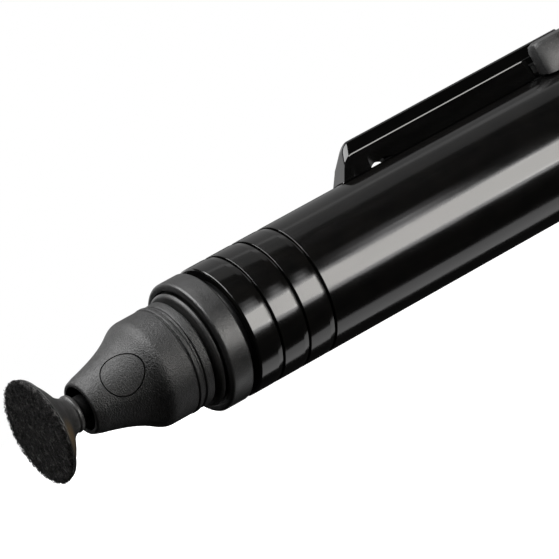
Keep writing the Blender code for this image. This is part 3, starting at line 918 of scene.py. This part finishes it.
def clip(look):
    """The bar: a leaning end face, a rounded front top and two arches under it."""
    start, end = span("clip")
    root_start = span("thumb_slide")[0] - 0.4 * MM
    lean = math.tan(CLIP_LEAN)
    rounded = start + CLIP_ROUNDING
    arched, plain = CLIP_ARCHED_END - rounded, root_start - CLIP_ARCHED_END
    stations = [start + CLIP_ROUNDING * (1 - math.cos(math.pi / 2 * step / 12)) for step in range(13)]
    stations += [rounded + arched * step / 70 for step in range(1, 71)]
    stations += [CLIP_ARCHED_END + plain * step / 14 for step in range(1, 15)]
    stations += [root_start + 0.001 * MM, end - 0.06 * MM, end]
    form = bmesh.new()
    rings = []
    for station in stations:
        ahead = max(0.0, 1 - (station - start) / CLIP_ROUNDING)
        drop = CLIP_DROP * (1 - math.sqrt(1 - ahead ** 2))
        follow = max(0.0, 1 - (station - start) / CLIP_LEAN_REACH)
        half = clip_half_section(station, root_start, drop)
        inset = 0.06 * MM if station == end else 0.0
        outline = [(-across, height) for across, height in half] + half[-2:0:-1]
        ring = []
        for across, height in outline:
            height -= inset
            across -= math.copysign(min(inset, abs(across)), across)
            back = lean * (height - BARREL_RADIUS) * follow
            ring.append(form.verts.new(at(station + back, across, height)))
        rings.append(ring)
    bridge_all(form, rings, capped=True)
    item = finish_mesh(form, "clip_bar", look, 20.0)
    settle(item, "clip", "gloss", "clip")


# ---------------------------------------------------------------- stage


def area_light(name, direction, distance, size, power, target, colour=(1.0, 1.0, 1.0)):
    """A soft box of size (along the pen, across), facing the target from a direction."""
    data = bpy.data.lights.new(name, "AREA")
    data.shape = "RECTANGLE"
    data.size, data.size_y = size
    data.energy = power
    data.color = colour
    item = bpy.data.objects.new(name, data)
    bpy.context.scene.collection.objects.link(item)
    depth = Vector(direction).normalized()
    along = (Vector((1.0, 0.0, 0.0)) - depth * depth.x).normalized()
    across = depth.cross(along)
    turn = Matrix((along, across, depth)).transposed().to_4x4()
    item.matrix_world = Matrix.Translation(target + depth * distance) @ turn


def camera():
    """Level with the pen and rolled, so that the pen rises to the right."""
    target = at(GROOVES[-1])
    depth = Vector((math.cos(VIEW_ANGLE), math.sin(VIEW_ANGLE), 0.0))
    level = Vector((math.sin(VIEW_ANGLE), -math.cos(VIEW_ANGLE), 0.0))
    upright = Vector((0.0, 0.0, 1.0))
    right = level * math.cos(ROLL) - upright * math.sin(ROLL)
    up = level * math.sin(ROLL) + upright * math.cos(ROLL)
    data = bpy.data.cameras.new("Camera")
    data.lens = FOCAL_LENGTH
    data.sensor_width = SENSOR_WIDTH
    data.clip_start = 0.01
    data.clip_end = 100.0
    item = bpy.data.objects.new("Camera", data)
    bpy.context.scene.collection.objects.link(item)
    place = target - right * CAMERA_LEFT + up * CAMERA_UP - depth * CAMERA_DISTANCE
    item.matrix_world = Matrix.Translation(place) @ Matrix((right, up, -depth)).transposed().to_4x4()
    bpy.context.scene.camera = item


def floor():
    """A white sheet at the height of the origin that only the camera sees."""
    form = bmesh.new()
    bmesh.ops.create_grid(form, x_segments=8, y_segments=8, size=3.0)
    look = bpy.data.materials.new("pale_floor")
    look.use_nodes = True
    shader = look.node_tree.nodes["Principled BSDF"]
    shader.inputs["Base Color"].default_value = (0.5, 0.5, 0.5, 1.0)
    shader.inputs["Roughness"].default_value = 1.0
    shader.inputs["Specular IOR Level"].default_value = 0.0
    shader.inputs["Emission Color"].default_value = WHITE
    shader.inputs["Emission Strength"].default_value = 1.0
    mesh = bpy.data.meshes.new("floor")
    form.to_mesh(mesh)
    form.free()
    item = link("floor", mesh, look)
    item.visible_glossy = False
    item.visible_diffuse = False
    item.visible_shadow = False
    item.visible_transmission = False


def world():
    """White to the eye, dim for reflections and shading, so that black gloss stays black."""
    made = bpy.data.worlds.new("studio")
    bpy.context.scene.world = made
    made.use_nodes = True
    tree = made.node_tree
    tree.nodes.clear()
    path = tree.nodes.new("ShaderNodeLightPath")
    seen = tree.nodes.new("ShaderNodeBackground")
    seen.inputs["Color"].default_value = WHITE
    seen.inputs["Strength"].default_value = 1.0
    dim = tree.nodes.new("ShaderNodeBackground")
    dim.inputs["Color"].default_value = WHITE
    dim.inputs["Strength"].default_value = DIM_SURROUND
    mix = tree.nodes.new("ShaderNodeMixShader")
    out = tree.nodes.new("ShaderNodeOutputWorld")
    tree.links.new(path.outputs["Is Camera Ray"], mix.inputs["Fac"])
    tree.links.new(dim.outputs["Background"], mix.inputs[1])
    tree.links.new(seen.outputs["Background"], mix.inputs[2])
    tree.links.new(mix.outputs["Shader"], out.inputs["Surface"])


def lights():
    """Soft boxes whose reflections make the stripes along the barrel and the light on the nose."""
    target = at(40 * MM)
    # The glow and its tail aim far ahead of the pen, so that only the barrel's front mirrors them.
    ahead = at(-18.0 * MM)
    rear = math.cos(VIEW_ANGLE)
    side = math.sin(VIEW_ANGLE)

    def around(degrees):
        """The direction that a barrel facet, seen by the camera, mirrors at this elevation."""
        angle = math.radians(degrees)
        return (rear, -side * math.cos(angle), side * math.sin(angle))

    area_light("front_box", around(-10.0), 0.7, (0.36, 0.32), 3.7, target, (1.0, 0.98, 0.945))
    area_light("front_fade", around(5.6), 0.7, (0.36, 0.062), 0.24, target)
    area_light("front_glow", around(11.0), 0.7, (0.055, 0.11), 0.054, ahead)
    area_light("front_tail", around(19.0), 0.7, (0.055, 0.10), 0.019, ahead)
    area_light("low_fade", around(-26.0), 0.7, (0.36, 0.075), 0.35, target)
    area_light("front_key", (-0.12, -0.67, 0.73), 0.7, (0.25, 0.25), 1.8, target)
    area_light("low_strip", around(-98.0), 0.6, (0.36, 0.28), 0.35, target)
    area_light("top_back", around(132.0), 0.8, (0.9, 0.8), 0.9, target)
    area_light("top_fade", around(92.0), 0.8, (0.4, 0.44), 0.19, target)
    area_light("top_key", (-0.2, -0.15, 0.97), 0.7, (0.62, 0.75), 12.0, target)
    area_light("back_card", (-0.15, 0.9, 0.42), 0.7, (0.5, 0.5), 0.7, target)


def main():
    """Makes the looks, then every piece, then the stage."""
    bpy.context.scene.view_settings.view_transform = "Standard"
    camera()
    matte = grained_look("collar_plastic", 0.003, 0.41, 6.5, 0.06)
    plug = grained_look("plug_plastic", 0.002, 0.50, 6.0, 0.07)
    satin = grained_look("ring_plastic", 0.012, 0.37, 6.5, 0.02)
    nylon = grained_look("inner_nylon", 0.008, 0.5, 6.0, 0.01)
    slide = grained_look("slide_plastic", 0.026, 0.42, 8.0, 0.015)
    gloss = gloss_look("barrel_gloss")
    clip_gloss = gloss_look("clip_gloss", 0.085, 0.0008)
    rubber = rubber_look()
    steel = steel_look()
    cleaning_pad(suede_look(), fibre_look())
    tip_cup(rubber)
    foam_disc(foam_look())
    stem(boot_look())
    nose_cone(nose_look(), plug)
    collar(matte)
    seal_ring(rubber)
    front_ring(satin)
    front_bushing(satin)
    barrel(gloss)
    tail_ring(satin)
    ferrule(satin)
    bristles(hair_look())
    clip(clip_gloss)
    softened("slide_button", "thumb_slide", slide, 0.14 * MM, "slide", "matte")
    softened("carriage_block", "brush_carriage", nylon, 0.08 * MM, "slide", "nylon")
    softened("clip_root_pin", "clip_pin", steel, 0.08 * MM, "slide", "steel")
    for node, look in (("nose_spigot", nylon), ("guide_sleeve", nylon), ("detent_spring", steel)):
        item = frame["nodes"][node]
        item.data.materials.clear()
        item.data.materials.append(look)
    floor()
    world()
    lights()


main()
